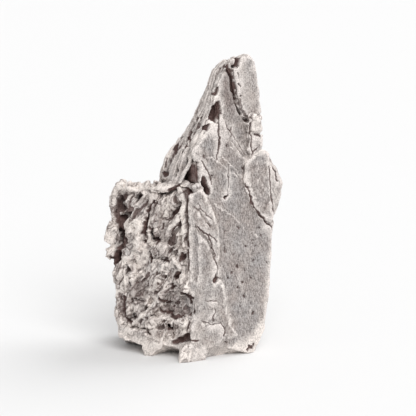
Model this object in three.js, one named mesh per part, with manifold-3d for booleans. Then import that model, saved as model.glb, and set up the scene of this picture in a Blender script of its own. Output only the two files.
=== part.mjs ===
// An iron meteorite: a cleaved fragment of coarse octahedrite that stands on its base.
//
// A spire of kamacite plates stands at the back and right. Its front was split smooth along one
// plate, and its left flank shows the plates edge-on. A rough block of torn iron stands against its
// left front, and a thick strip of plate closes the corner between the two. It is one piece.
//
// Millimetres, +Z up, the front towards -Y, the origin in the middle of the footprint.
import * as THREE from "three";
import { ConvexGeometry } from "three/addons/geometries/ConvexGeometry.js";
import { ImprovedNoise } from "three/addons/math/ImprovedNoise.js";
import { mergeVertices } from "three/addons/utils/BufferGeometryUtils.js";
import Module from "manifold-3d";

const wasm = await Module();
wasm.setup();
const noise = new ImprovedNoise();

// ---------- driving dimensions ----------

const SPIRE_DEPTH = 18; // from its smooth front to its torn back
const PLATES = [1.3, 1.7, 1.2, 2.4, 1.5, 2]; // thickness of the packets of kamacite, front to back
const TORN_RELIEF = 1.1; // how far torn iron stands out of and sinks into its face
const BASE_LEVEL = 1.1; // the surface the stone rests on, as the heights below are counted
const FOOTPRINT_MIDDLE = [0.1, -7.15]; // goes to the origin at the end
const IRON_GREY = 0xada6a3;

// ---------- the faces, each with its own frame: x right along it, y up it, z out of it ----------

// azimuth turns the face from the front towards the right, lean tips it back.
function faceFrame(origin, azimuth, lean) {
  const turn = THREE.MathUtils.degToRad(azimuth);
  const tip = THREE.MathUtils.degToRad(lean);
  const out = new THREE.Vector3(
    Math.sin(turn) * Math.cos(tip),
    -Math.cos(turn) * Math.cos(tip),
    Math.sin(tip),
  );
  const right = new THREE.Vector3(Math.cos(turn), Math.sin(turn), 0);
  const up = new THREE.Vector3().crossVectors(out, right);
  return new THREE.Matrix4().makeBasis(right, up, out).setPosition(...origin);
}

const FRONT = faceFrame([0, 0, 0], 0, 0);
const SMOOTH_FACE = faceFrame([0, -24.1, 0], 33, 5);
const STRIP_FACE = faceFrame([-1, -21.5, 0], 22, 2);
const ROUGH_FACE = faceFrame([-1, -21.5, 0], -25, 2);
const SPIRE_BACK = faceFrame([-9.8, -9, 0], 213, -5);
const BLOCK_SIDE = faceFrame([-22.5, -1, 0], -96, 1);
const BLOCK_BACK = faceFrame([-6, 9, 0], 184, 9);

// ---------- solids ----------

// A closed geometry, laid on a face, as a manifold-3d solid.
function solid(geometry, face = new THREE.Matrix4()) {
  const flat = geometry.index ? geometry.toNonIndexed() : geometry;
  const bare = new THREE.BufferGeometry();
  bare.setAttribute("position", flat.getAttribute("position").clone());
  bare.applyMatrix4(face);
  const merged = mergeVertices(bare, 1e-4);
  return new wasm.Manifold(
    new wasm.Mesh({
      numProp: 3,
      vertProperties: merged.attributes.position.array,
      triVerts: new Uint32Array(merged.index.array),
    }),
  );
}

function joined(solids) {
  return solids.reduce((sum, next) => sum.add(next));
}

function hull(points, face) {
  return solid(new ConvexGeometry(points.map((p) => new THREE.Vector3(...p))), face);
}

// Moves every corner of a geometry: move(point) changes the point it is given.
function reshaped(geometry, move) {
  const corners = geometry.getAttribute("position");
  const point = new THREE.Vector3();
  for (let i = 0; i < corners.count; i += 1) {
    move(point.fromBufferAttribute(corners, i));
    corners.setXYZ(i, point.x, point.y, point.z);
  }
  return geometry;
}

// A plate whose outer side lies `rise` above the face. `wave` bends its broad sides.
function slab(face, outline, rise, thickness, { chamfer = 0, wave = 0 } = {}) {
  const shape = new THREE.Shape(outline.map((p) => new THREE.Vector2(...p)));
  const geometry = new THREE.ExtrudeGeometry(shape, {
    depth: thickness - 2 * chamfer,
    bevelEnabled: chamfer > 0,
    bevelThickness: chamfer,
    bevelSize: chamfer,
    bevelOffset: -chamfer,
    bevelSegments: 1,
  });
  geometry.translate(0, 0, rise - thickness + chamfer);
  reshaped(geometry, (p) => {
    p.z += wave * 2 * noise.noise(p.x * 0.45 + 9, p.y * 0.45, rise * 3);
  });
  return solid(geometry, face);
}

// A pit with sloping walls: its floor is the outline drawn in towards the middle.
function pit(face, outline, depth, floor = 0.6, mouth = 2) {
  const middle = [0, 1].map((k) => outline.reduce((sum, p) => sum + p[k], 0) / outline.length);
  const level = (scale, z) =>
    outline.map((p) => [...p.map((v, k) => middle[k] + (v - middle[k]) * scale), z]);
  return hull([...level(1 + (1 - floor) * (mouth / depth), mouth), ...level(floor, -depth)], face);
}

// A V-shaped groove along a path.
function crack(face, path, width, depth, mouth = 2) {
  return path.slice(1).map((end, i) => {
    const start = path[i];
    const length = Math.hypot(end[0] - start[0], end[1] - start[1]);
    const along = [(end[0] - start[0]) / length, (end[1] - start[1]) / length];
    const corner = ([x, y], ahead, side, z) => [
      x + (along[0] * ahead * width) / 2 - along[1] * side,
      y + (along[1] * ahead * width) / 2 + along[0] * side,
      z,
    ];
    const half = (z) => (width / 2) * ((z + depth) / depth) + 0.08;
    return hull(
      [-depth, mouth].flatMap((z) => [
        corner(start, -1, half(z), z),
        corner(start, -1, -half(z), z),
        corner(end, 1, half(z), z),
        corner(end, 1, -half(z), z),
      ]),
      face,
    );
  });
}

// A splinter of torn iron: a low ridge, longest along its angle, whose crest leans to one side.
function splinter(face, { x, y, length, width, rise, angle, lean }) {
  const turn = THREE.MathUtils.degToRad(angle);
  const at = (along, across, z) => [
    x + along * Math.cos(turn) - across * Math.sin(turn),
    y + along * Math.sin(turn) + across * Math.cos(turn),
    z,
  ];
  const [l, w] = [length / 2, width / 2];
  return hull(
    [
      at(-l, 0, -3),
      at(0, w, -3),
      at(l, 0, -3),
      at(0, -w, -3),
      at(-l * 0.6, lean * w, rise * 0.6),
      at(l * 0.2, lean * w, rise),
      at(l * 0.7, lean * w * 0.3, rise * 0.7),
      at(0, -lean * w * 0.5, rise * 0.75),
    ],
    face,
  );
}

// Torn iron: a box drawn onto levels, with every facet of it tipped. A level has its height and
// its four corners, front left, front right, back right and back left, as [x, z] of the face.
function tornBody(face, levels, [across, back, up]) {
  const mix = THREE.MathUtils.lerp;
  const box = new THREE.BoxGeometry(1, 1, 1, across, up, back).translate(0.5, 0.5, 0.5);
  const drawn = reshaped(box, (p) => {
    const height = mix(levels[0].height, levels.at(-1).height, p.y);
    const next = Math.max(1, levels.findIndex((level) => level.height >= height - 1e-6));
    const [lower, upper] = [levels[next - 1], levels[next]];
    const t = (height - lower.height) / (upper.height - lower.height);
    const [x, z] = [0, 1].map((k) => {
      const corner = lower.corners.map((c, i) => mix(c[k], upper.corners[i][k], t));
      return mix(mix(corner[3], corner[2], p.x), mix(corner[0], corner[1], p.x), p.z);
    });
    const tear = [0, 40, 80].map((shift) =>
      TORN_RELIEF * 1.6 * noise.noise(x * 0.37 + shift, height * 0.31, z * 0.37),
    );
    p.set(x + tear[0], height + tear[1], z + tear[2]);
  });
  return solid(drawn, face);
}

// The same chances every run: values from 0 to 1.
function dice(seed) {
  let state = seed;
  return () => {
    state = (state * 16807) % 2147483647;
    return state / 2147483647;
  };
}

// An outline whose long edges are broken into short ones, as torn metal has them.
function ragged(outline, step, jitter, roll) {
  return outline.flatMap((start, i) => {
    const end = outline[(i + 1) % outline.length];
    const [dx, dy] = [end[0] - start[0], end[1] - start[1]];
    const length = Math.hypot(dx, dy);
    const pieces = Math.max(1, Math.round(length / step));
    return Array.from({ length: pieces }, (_, k) => {
      const t = k / pieces;
      const side = k === 0 ? 0 : ((roll() * 2 - 1) * jitter) / length;
      return [start[0] + dx * t - dy * side, start[1] + dy * t + dx * side];
    });
  });
}

// Splinters strewn over a patch of a face, nearly all along the grain.
function strewn(face, { xs, ys, count, size, rise, grain, spread, seed }) {
  const roll = dice(seed);
  return Array.from({ length: count }, () => {
    const length = size * (0.6 + 0.9 * roll());
    return splinter(face, {
      x: xs[0] + (xs[1] - xs[0]) * roll(),
      y: ys[0] + (ys[1] - ys[0]) * roll(),
      length,
      width: length * (0.35 + 0.3 * roll()),
      rise: rise * (0.3 + 0.7 * roll()),
      angle: grain + spread * (roll() * 2 - 1),
      lean: roll() * 1.6 - 0.8,
    });
  });
}

// ---------- the spire: a book of plates ----------

// The outline of the plates at three depths, from the left foot up over the tip and down the right.
// Deeper plates reach further left and end lower, so that the back falls away from the tip.
const SPIRE_OUTLINES = [
  {
    depth: 0,
    outline: [
      [11, -3], [7.5, 24], [4.6, 50], [4.4, 62], [6.6, 67], [9.6, 71.5], [12.4, 79], [15.4, 84],
      [18.6, 87.5], [24, 89.6], [26.9, 88], [28.4, 72.7], [27.4, 62], [30.4, 57], [32, 50],
      [31.2, 42], [30.2, 33], [29, 22], [27.6, 16], [26, 7.5], [23, 2.8], [20, -3],
    ],
  },
  {
    depth: 7,
    outline: [
      [0, -3], [0, 24], [0, 48], [2.8, 58], [5.4, 63.4], [9.4, 69], [13.2, 76], [15.4, 81],
      [17.4, 85.5], [20.5, 88.3], [26, 87], [28.4, 72.7], [28, 62], [30.4, 56], [31.4, 50],
      [30.4, 41], [29.6, 31], [28.4, 20], [27.4, 14], [25.6, 6], [23, 2], [20, -3],
    ],
  },
  {
    depth: SPIRE_DEPTH,
    outline: [
      [-4, -3], [-3, 24], [-2, 44], [4.6, 54.5], [5.6, 59], [7.8, 63], [10.6, 66], [12.6, 68],
      [14.2, 69.2], [16, 69.4], [19, 67.5], [22, 64], [24, 58], [25.5, 54], [26, 49],
      [26, 41], [25.5, 31], [25, 20], [24.5, 14], [23, 6], [21, 2], [18, -3],
    ],
  },
];

const LAID_UNDER = 1.4; // the first packet starts inside the front plate

function outlineAt(depth) {
  const next = SPIRE_OUTLINES.findIndex((o) => o.depth >= depth);
  const [from, to] = [SPIRE_OUTLINES[next - 1], SPIRE_OUTLINES[next]];
  const t = (depth - from.depth) / (to.depth - from.depth);
  return from.outline.map(([x, y], i) => [
    x + (to.outline[i][0] - x) * t,
    y + (to.outline[i][1] - y) * t,
  ]);
}

// Behind the front plate, each packet ends a little short of its neighbours or past them.
function spirePlates() {
  const roll = dice(41);
  const either = (reach) => (roll() * 2 - 1) * reach;
  let depth = LAID_UNDER;
  return PLATES.map((thickness) => {
    const [flank, crown, side] = [either(0.8), either(0.9), either(0.5)];
    const outline = outlineAt(depth + thickness / 2).map(([x, y], i) => {
      if (i >= 3 && i <= 8) return [x + flank + either(0.3), y - flank * 0.3];
      return i <= 10 ? [x, y + crown] : [x + side + either(0.3), y];
    });
    const plate = slab(SMOOTH_FACE, ragged(outline, 8, 0.4, roll), -depth, thickness + 0.9, {
      wave: 0.25,
    });
    depth += thickness;
    return plate;
  });
}

// The back of the spire is torn across the plates, and leans forward to the tip.
const BACK_LEVELS = [
  { height: -3, corners: [[0, -7], [20, -7], [18, -18], [-3, -18]] },
  { height: 24, corners: [[0, -7], [28, -7], [25, -18], [-2, -18]] },
  { height: 46, corners: [[1, -7], [29.5, -7], [25.8, -18], [0, -18]] },
  { height: 57, corners: [[4.2, -7], [27.5, -7], [24, -18], [4, -18]] },
  { height: 67, corners: [[9, -7], [26, -8], [18, -17.4], [10.4, -17.4]] },
  { height: 77, corners: [[14.6, -7], [25, -8], [20, -12], [16.6, -12]] },
];

// The front plate, whose top ends in two fingers with the deeper plate bare above them.
const FRONT_PLATE = [
  [12, -3], [12.6, 6], [9, 24], [8.4, 40], [4.4, 50], [4.6, 59], [3.4, 62.8], [6.2, 66.6],
  [8, 69], [9.4, 71.6], [11, 72.2], [12.2, 71.4], [12.7, 70.2], [13, 73.6], [13.9, 74.2],
  [14.9, 72.8], [16, 69.2], [16.8, 66], [18.6, 63.3], [21.5, 59.7], [23.4, 59.6], [28, 58.5],
  [30.8, 46], [30.8, 39], [30, 33], [28.9, 22], [27.6, 16.4], [26, 7.5], [23, 2.8], [19, -3],
];

// The bare plate above the fingers, split from the tip plate by the long crack.
const UPPER_PLATE = [
  [6, 60], [10.2, 70], [11.6, 75], [12.6, 80.4], [15.4, 85.4], [18.8, 86], [22, 80],
  [25.8, 72], [25.8, 58], [10, 55],
];
const TIP_PLATE = [
  [18.7, 86.3], [20.8, 87], [21.2, 89.2], [22.8, 90], [24.8, 90.2], [26.7, 88.3], [27.3, 82],
  [28.4, 72.7], [25.6, 71.5], [23.2, 71], [21.4, 73.4], [20.2, 77.5], [19.2, 81.5],
];
const SIDE_PLATE = [[23, 67], [26, 66.4], [28.6, 66], [28, 62.4], [25.6, 60.4], [22.8, 59.8]];

// Two scales that overlap the right edge.
const LEAF = [
  [20.8, 58.3], [22.8, 59.8], [27.5, 61.8], [29.6, 60.8], [30.6, 57.4], [30.7, 46.3],
  [30.7, 41.5], [29.2, 39.6], [26.8, 41], [24.4, 43.3], [22.4, 46], [21, 49.7], [20.2, 54],
];
const LEAF_HOLLOW = [
  [22.4, 57.4], [27, 59.4], [29.2, 57], [29.4, 46], [28.8, 43], [25.2, 45.4], [23.2, 49],
  [22, 53.4],
];
const EDGE_SCALE = [
  [28, 60.6], [29.8, 60.2], [31.4, 57.8], [33, 55], [35, 50.8], [34, 47], [31.8, 42.5],
  [30.4, 40.4], [28, 41],
];
const KNOB = [
  [22, 70.2, 0], [24, 71.3, 0], [27, 71.8, 0], [28.4, 69.5, -0.5], [27.9, 66.6, -0.5],
  [24.5, 66.1, 0], [22.3, 67.4, 0], [23.4, 69.6, 1.6], [26.2, 70.5, 1.8], [26.6, 68, 1.7],
  [24.2, 67.6, 1.5], [25, 69, -3], [27, 69, -4],
];

function spire() {
  const roll = dice(7);
  const worn = { chamfer: 0.4 };
  const leaf = slab(SMOOTH_FACE, ragged(LEAF, 3, 0.2, roll), 1, 3.2, worn);
  return joined([
    ...spirePlates(),
    slab(SMOOTH_FACE, ragged(UPPER_PLATE, 4, 0.25, roll), -0.9, 2, { chamfer: 0.25 }),
    slab(SMOOTH_FACE, ragged(FRONT_PLATE, 8, 0.15, roll), 0, 2, worn),
    slab(SMOOTH_FACE, ragged(TIP_PLATE, 2.5, 0.2, roll), 0.3, 3, worn),
    slab(SMOOTH_FACE, SIDE_PLATE, 0.3, 2, worn),
    leaf.subtract(pit(SMOOTH_FACE, LEAF_HOLLOW, -0.65, 0.9, 2.5)),
    slab(SMOOTH_FACE, ragged(EDGE_SCALE, 3, 0.2, roll), 0.1, 4, worn),
    hull(KNOB, SMOOTH_FACE),
    tornBody(SMOOTH_FACE, BACK_LEVELS, [5, 3, 12]),
    ...strewn(SPIRE_BACK, {
      xs: [-22, -6], ys: [20, 62], count: 4, size: 7, rise: 1.6, grain: 80, spread: 25, seed: 71,
    }),
  ]);
}

// The cavity that runs in behind the left edge of the front plate, above the block.
const CAVITY = [
  [-1, 55.4, -1], [-1, 60.4, -1], [5, 61.4, -1], [5, 54, -1], [2.4, 53.4, -1],
  [3, 55, -10], [3.4, 60, -10], [6, 62, -9.5], [10.6, 60.6, -9], [10.4, 55, -9], [6, 53.6, -9.5],
];

const SPIRE_CUTS = [
  // The two holes above the cavity.
  {
    depth: 3.2,
    outline: [
      [11.7, 76.7], [13.2, 77.2], [14.1, 75.7], [14.2, 74], [12.9, 72.8], [12.5, 71.4], [9.7, 71.9],
      [10.4, 73.9],
    ],
  },
  { depth: 2.5, outline: [[8.4, 71], [9.5, 70.7], [8.8, 68.9], [7.4, 69]] },
  // The slot in the top.
  { depth: 5, floor: 0.9, outline: [[19.1, 91], [20.6, 91], [20.5, 86.3], [18.9, 86.3]] },
  // Slots between the plates of the flank.
  { depth: 10.5, floor: 1.1, mouth: -7, outline: [[6.8, 67.4], [9.4, 71], [10.3, 70.6], [8.6, 67]] },
  { depth: 15, floor: 1.1, mouth: -11, outline: [[4, 62.6], [7.6, 67.2], [8.9, 66.6], [5.5, 61.6]] },
  // The gap beside the head of the strip, and a three-cornered hole in the front plate.
  { depth: 2.4, outline: [[6.6, 55.6], [8.5, 51.6], [8.6, 49.4], [7, 51], [5.6, 54.5]] },
  { depth: 1.2, floor: 0.5, outline: [[13.5, 48], [14.7, 49.8], [15.7, 49.3]] },
];
const TIP_CRACK = [[17.6, 86], [18.5, 83], [18.9, 80], [19.8, 77], [20.4, 74], [22.8, 70.8]];
const BACK_PITS = [
  { depth: 2, outline: [[-13, 62], [-9.6, 63], [-8.4, 55], [-11.6, 52]] },
];

// ---------- the strip that closes the front corner ----------

const STRIP = [
  [0.3, 0], [0.3, 12], [1.6, 14], [2.4, 16.3], [2.2, 19.4], [1.4, 20.6], [-0.8, 21.8], [-2.6, 23],
  [0.2, 25], [0.2, 31], [0.1, 50.7], [1.5, 51], [3.8, 52.3], [5.2, 52], [7.1, 48], [8.9, 44.2],
  [10, 39], [10.4, 35], [9.8, 30.7], [9, 26.2], [7.7, 24.6], [8, 0],
];
const LOWER_STRIP = [
  [7.2, 24.4], [9.9, 25], [11.4, 23.4], [12, 20.8], [12.4, 17], [13.3, 12.8], [14.6, 9],
  [15.6, 6.8], [11.3, 6], [10.2, 4.4], [7.4, 3.6], [4.8, 2], [2, -1], [0, -1], [4, 8], [6.6, 16],
];
const FOOT = [
  [-3.6, 0, 1], [-3.4, 3.6, 0.6], [-1.6, 6, 0], [4, 6, 0.4], [6.5, 3, 0.5], [4, 0, 0.9],
  [1, 0, 1.5], [0.5, 3, 1.2], [-2, 0, -5], [4, 0, -5], [0, 6, -4],
];
const STRIP_CUTS = [
  { depth: 2.5, outline: [[7.8, 24.6], [9, 26.6], [10.4, 27.2], [10, 24.9]] },
  { depth: 1.8, outline: [[10.6, 4.2], [11.5, 5.9], [12.6, 5.7], [12.5, 3.9]] },
];
const STRIP_CRACKS = [
  { width: 0.7, depth: 0.9, path: [[2.4, 41], [5.4, 38], [7.4, 34.5], [8.2, 31.2]] },
  { width: 0.6, depth: 0.6, path: [[3.6, 46.4], [5.4, 43.4], [7.2, 41]] },
  { width: 0.6, depth: 0.6, path: [[5.4, 12], [8.4, 12.6], [10.8, 12.2], [11.6, 8.6]] },
];

function strip() {
  const roll = dice(19);
  return joined([
    slab(STRIP_FACE, ragged(STRIP, 5, 0.2, roll), 0, 7, { chamfer: 0.5 }),
    slab(STRIP_FACE, ragged(LOWER_STRIP, 5, 0.2, roll), 0.2, 5, { chamfer: 0.5 }),
    hull(FOOT, STRIP_FACE),
  ]);
}

// ---------- the rough block ----------

const BLOCK_LEVELS = [
  { height: -2, corners: [[-22.4, 10.1], [-0.1, 20.8], [9, -8], [-18.5, -9.5]] },
  { height: 15, corners: [[-22.8, 9.4], [0.1, 20.3], [9, -7], [-20.5, -8]] },
  { height: 30, corners: [[-23.6, 8.4], [0.3, 19.8], [8, -5], [-22, -5]] },
  { height: 47.4, corners: [[-24.9, 7.4], [0.2, 18.9], [5, -1], [-23, -1.5]] },
  { height: 50.4, corners: [[-22.8, 8], [0.3, 18.6], [4, 1], [-21, 1]] },
];

// The flakes and ledges that stand out of the rough face.
const ROUGH_LEDGES = [
  // The rim along the top, in two lengths.
  {
    rise: 0.2,
    outline: [
      [-26.2, 48.6], [-26, 50.8], [-24.3, 52], [-17, 52.2], [-15, 50.8], [-20.3, 50], [-23.6, 49.4],
    ],
  },
  {
    rise: 0,
    outline: [
      [-16, 52], [-10.5, 53], [-6.6, 53.6], [-3.3, 53.4], [-3.6, 52.6], [-10.4, 50.6],
      [-15.6, 50.8],
    ],
  },
  // The long pale flake, and the lumps on the left edge.
  {
    rise: 0.5,
    outline: [
      [-15.9, 43.2], [-15.2, 39.6], [-16.5, 35.9], [-17.8, 32.2], [-19.5, 35.6], [-21.6, 37.8],
      [-20.2, 41], [-17.5, 42.6],
    ],
  },
  {
    rise: 0.2,
    outline: [[-26.8, 40.6], [-24.8, 38.2], [-24.8, 34.5], [-26.6, 33.1], [-28.6, 34.8], [-28.3, 38]],
  },
  { rise: 0, outline: [[-28.3, 32.3], [-25.7, 32], [-25.1, 30.2], [-26.8, 28.2], [-28.5, 29.9]] },
  // Plates in the upper middle, all along the grain.
  {
    rise: -0.3,
    outline: [[-13, 47.6], [-8.5, 49.2], [-10.3, 44.3], [-11.6, 39.4], [-13.6, 40.4], [-13.3, 44.6]],
  },
  {
    rise: 0.2,
    outline: [[-7.7, 42.2], [-3.9, 45.4], [-2.5, 44.4], [-5.1, 40], [-7, 37.4], [-9, 37.8]],
  },
  {
    rise: 0,
    outline: [[-6.5, 51.1], [-4.3, 52], [-3, 51.1], [-3.9, 47.8], [-6.5, 47], [-7.8, 48.6]],
  },
  {
    rise: 0.1,
    outline: [[-13.5, 34.4], [-10.2, 35.6], [-7, 35], [-8.2, 31.9], [-12.2, 30.9], [-14.1, 31.9]],
  },
  // The rim beside the long crack, and the hook below it.
  {
    rise: 0.4,
    outline: [
      [-4.6, 52.3], [-2.6, 51.5], [-2.1, 44.7], [-1.8, 37.3], [-3.1, 34.8], [-3.4, 41.6],
      [-3.8, 49],
    ],
  },
  {
    rise: 0.7,
    outline: [
      [-3.1, 34.5], [-1.7, 33.7], [-3.7, 31.7], [-2.3, 29.8], [-3.6, 28.6], [-6.2, 30],
      [-6.3, 31.5],
    ],
  },
  // The arched ridge over the hollow, the ledge under it, and the ridge at the left.
  {
    rise: 0.5,
    outline: [
      [-7.5, 22.8], [-6.1, 21.9], [-9.1, 19.2], [-10.7, 16], [-13.3, 13.3], [-18.6, 10],
      [-18.7, 12.1], [-13.9, 15], [-11.4, 18.4],
    ],
  },
  {
    rise: 0.4,
    outline: [
      [-18.2, 11.5], [-13.3, 13], [-6.7, 13.8], [-2.1, 14], [-1.3, 11.4], [-6.7, 11.6],
      [-13.2, 9.4], [-17.5, 9.3],
    ],
  },
  {
    rise: 0.2,
    outline: [
      [-21.4, 28.8], [-19.7, 26.5], [-20, 20.5], [-19, 18.4], [-16, 22.7], [-16, 24.6],
      [-18.7, 21.6], [-18.7, 28.1],
    ],
  },
  {
    rise: -0.5,
    outline: [[-25, 26.6], [-21, 27.9], [-20.2, 17.4], [-21.2, 9.7], [-23.9, 9.4], [-25.2, 16.8]],
  },
  // The skirt at the foot.
  {
    rise: 0.2,
    outline: [
      [-23.9, 9.6], [-21.5, 8.7], [-14.9, 8.8], [-13.2, 6], [-15.5, 2.7], [-19.8, 4.6],
      [-23.5, 4.8],
    ],
  },
  { rise: 0.4, outline: [[-15.8, 4.2], [-13.2, 7], [-8.2, 7], [-9.8, 3.3], [-12.4, -1], [-14.8, -1]] },
  {
    rise: 0,
    outline: [[-13, 9.4], [-6.8, 10.2], [-5.4, 5.8], [-2, 4.8], [-3, 3.6], [-8.2, 4.8], [-12, 6]],
  },
];

const ROUGH_PITS = [
  // The rusty recess down the left edge.
  { depth: 4.2, outline: [[-25.8, 47.6], [-23.9, 49.2], [-21.5, 46.2], [-21.4, 43.4], [-25.6, 43]] },
  { depth: 4.2, outline: [[-25.8, 42.2], [-22.2, 43.4], [-19.4, 44.7], [-19.9, 42.8], [-22.8, 39.4]] },
  { depth: 4.6, outline: [[-24.8, 39.3], [-22.8, 38.9], [-23, 34], [-24.1, 31.8], [-25.6, 32.6]] },
  { depth: 4.4, outline: [[-25.9, 31.4], [-24.1, 32], [-22.7, 28.7], [-24.4, 27.3], [-25.6, 26.6]] },
  // Hollows under the top rim.
  { depth: 3.6, outline: [[-16.8, 50.4], [-15.7, 49.7], [-18.3, 47.7], [-18.9, 45.3], [-19.6, 48.5]] },
  { depth: 4, outline: [[-9.5, 51.3], [-4.4, 52.8], [-3.9, 52.2], [-6.2, 51], [-7.8, 49.8]] },
  // The long pit along the grain, and its neighbours.
  { depth: 4, outline: [
    [-4.5, 47.7], [-3.8, 47.2], [-5.1, 44.9], [-9, 42], [-8.4, 43.6], [-6.8, 45.7],
  ] },
  { depth: 3.6, outline: [[-13.6, 40.4], [-12.6, 39.6], [-12.2, 35.9], [-13.2, 35], [-14.5, 38.8]] },
  { depth: 3.2, outline: [[-13.2, 36.8], [-10.6, 37.7], [-10.2, 35.9], [-12.5, 35.1]] },
  { depth: 3.4, outline: [[-3.4, 34.2], [-2.2, 33.4], [-2.6, 31.4], [-4.6, 31.5], [-4.3, 32.8]] },
  // The hollow under the arch, and the slots around it.
  {
    depth: 3.2,
    floor: 0.85,
    outline: [
      [-8.1, 21.5], [-3.5, 22.3], [1.4, 19.8], [1.2, 16.1], [-0.2, 14.3], [-8.3, 14.2], [-10.1, 16],
      [-9.5, 18.9],
    ],
  },
  { depth: 4.4, outline: [[1, 20], [2.2, 20], [2, 16.3], [0.3, 15.8]] },
  { depth: 5, outline: [[-5.9, 6.2], [-3.3, 8.2], [0, 9.8], [0.8, 6.7]] },
  { depth: 3.6, outline: [[-22.9, 18], [-21.6, 17.8], [-20.9, 13.7], [-21.5, 11], [-22.6, 11.7]] },
  { depth: 3, outline: [[-20.6, 14.9], [-19.2, 14.5], [-18.9, 9.9], [-19.9, 10.2]] },
  { depth: 2.6, floor: 0.8, outline: [[-18.7, 21.2], [-15.3, 21.2], [-14.3, 19.2], [-16.6, 17.2]] },
  { depth: 3.2, outline: [[-6.4, 25.2], [-4.9, 27.1], [-3.4, 27.3], [-4, 24.8]] },
  { depth: 2.4, outline: [[-8.1, 11], [-6.6, 11.4], [-6.5, 9.8], [-8.1, 9.8]] },
];

const ROUGH_CRACKS = [
  { width: 1, depth: 4, path: [[-1.4, 53], [-1.4, 46], [-1.2, 41], [-1, 35.4]] },
  { width: 0.8, depth: 2.8, path: [[-15, 46.5], [-14.7, 43.2], [-15, 39.6], [-16.2, 35.4]] },
];

// Splinters along the grain in the upper half, crumbs lying every way in the lower.
const ROUGH_SPLINTERS = [
  { xs: [-21, -3], ys: [34, 50], count: 11, size: 3.8, rise: -0.1, grain: 60, spread: 20, seed: 11 },
  { xs: [-20, -1.5], ys: [20, 33], count: 16, size: 2.8, rise: 0.1, grain: 50, spread: 80, seed: 23 },
  { xs: [-24, -2], ys: [8, 19], count: 5, size: 3, rise: 0, grain: 20, spread: 70, seed: 31 },
];

// The sides that face away: long splinters along the grain, and pits between them.
const AWAY_SPLINTERS = [
  [BLOCK_SIDE, { xs: [-6, 6], ys: [6, 46], count: 3, size: 7, rise: 1.4, grain: 70, spread: 25, seed: 5 }],
  [
    BLOCK_BACK,
    { xs: [-12, 12], ys: [5, 46], count: 6, size: 8, rise: 1.8, grain: 120, spread: 25, seed: 67 },
  ],
];
const AWAY_PITS = [
  [BLOCK_SIDE, { depth: 2.4, outline: [[-3, 33], [0, 36], [3, 31], [1, 26], [-2, 28]] }],
  [BLOCK_SIDE, { depth: 2, outline: [[1, 20], [5, 22], [6, 15], [3, 12]] }],
  [BLOCK_BACK, { depth: 2.6, outline: [[-6, 34], [0, 37], [2, 30], [-3, 26]] }],
  [BLOCK_BACK, { depth: 2.2, outline: [[-9, 18], [-4, 21], [-2, 14], [-7, 11]] }],
  [BLOCK_BACK, { depth: 2.4, outline: [[5, 14], [9, 17], [11, 10], [6, 8]] }],
];

function pits(face, list) {
  return joined(list.map((p) => pit(face, p.outline, p.depth, p.floor, p.mouth)));
}

function block() {
  const roll = dice(53);
  const torn = { chamfer: 0.35, wave: 0.5 };
  const away = AWAY_SPLINTERS.flatMap(([face, patch]) => strewn(face, patch));
  const hollows = AWAY_PITS.map(([face, p]) => pits(face, [p]));
  const splinters = ROUGH_SPLINTERS.flatMap((patch) => strewn(ROUGH_FACE, patch));
  const ledges = ROUGH_LEDGES.map((l) =>
    slab(ROUGH_FACE, ragged(l.outline, 2.8, 0.25, roll), l.rise, 4 + l.rise, torn),
  );
  const worn = joined([tornBody(FRONT, BLOCK_LEVELS, [8, 4, 14]), ...splinters, ...away])
    .subtract(pits(ROUGH_FACE, ROUGH_PITS))
    .subtract(joined(hollows));
  return joined([worn, ...ledges]).subtract(cracks(ROUGH_FACE, ROUGH_CRACKS));
}

function cracks(face, list) {
  return joined(list.flatMap((c) => crack(face, c.path, c.width, c.depth)));
}

// ---------- the base ----------

// The front edge of the underside is broken up between the feet, deeper in than it is high.
const BASE_NOTCHES = [
  [ROUGH_FACE, 15, [[-32, 6], [-20, 5], [-15.9, 4.2], [-15.3, 1.8], [-15.2, -3], [-32, -3]]],
  [ROUGH_FACE, 11, [[-12.2, -3], [-12, 2], [-10, 3.6], [-8.2, 5], [-5, 4.4], [-3.6, 3.8], [-3.6, -3]]],
  [SMOOTH_FACE, 5, [[5, -3], [6, 3.8], [9, 4.6], [14, 3.1], [19, 1.4], [20, -3]]],
];

function notch([face, depth, outline]) {
  const front = outline.flatMap(([x, y]) => [[x, y, 4], [x, y, -1.5]]);
  const middle = outline.reduce((sum, p) => sum + p[0], 0) / outline.length;
  const inner = outline.map(([x, y]) => [middle + (x - middle) * 0.7, Math.min(y, 0) - 1, -depth]);
  return hull([...front, ...inner], face);
}

function floorCut() {
  const [reach, thick] = [200, 40];
  return solid(new THREE.BoxGeometry(reach, reach, thick).translate(0, 0, BASE_LEVEL - thick / 2));
}

// ---------- the whole ----------

function meteorite() {
  const body = joined([spire(), block()])
    .subtract(hull(CAVITY, SMOOTH_FACE))
    .subtract(pits(SMOOTH_FACE, SPIRE_CUTS))
    .subtract(joined(crack(SMOOTH_FACE, TIP_CRACK, 1.1, 3)))
    .subtract(pits(SPIRE_BACK, BACK_PITS));
  const corner = strip()
    .subtract(pits(STRIP_FACE, STRIP_CUTS))
    .subtract(cracks(STRIP_FACE, STRIP_CRACKS));
  return joined([body, corner])
    .subtract(joined(BASE_NOTCHES.map(notch)))
    .subtract(floorCut());
}

function meshOf(name, shape, material) {
  const { numProp, vertProperties, triVerts } = shape.getMesh();
  const geometry = new THREE.BufferGeometry();
  geometry.setAttribute("position", new THREE.BufferAttribute(vertProperties, numProp));
  geometry.setIndex(new THREE.BufferAttribute(triVerts, 1));
  geometry.computeVertexNormals();
  const mesh = new THREE.Mesh(geometry, material);
  mesh.name = name;
  return mesh;
}

const iron = new THREE.MeshStandardMaterial({ color: IRON_GREY, roughness: 0.6, metalness: 0.4 });
const part = new THREE.Group();
const stone = meshOf("meteorite", meteorite(), iron);
stone.position.set(-FOOTPRINT_MIDDLE[0], -FOOTPRINT_MIDDLE[1], -BASE_LEVEL);
part.add(stone);

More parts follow.
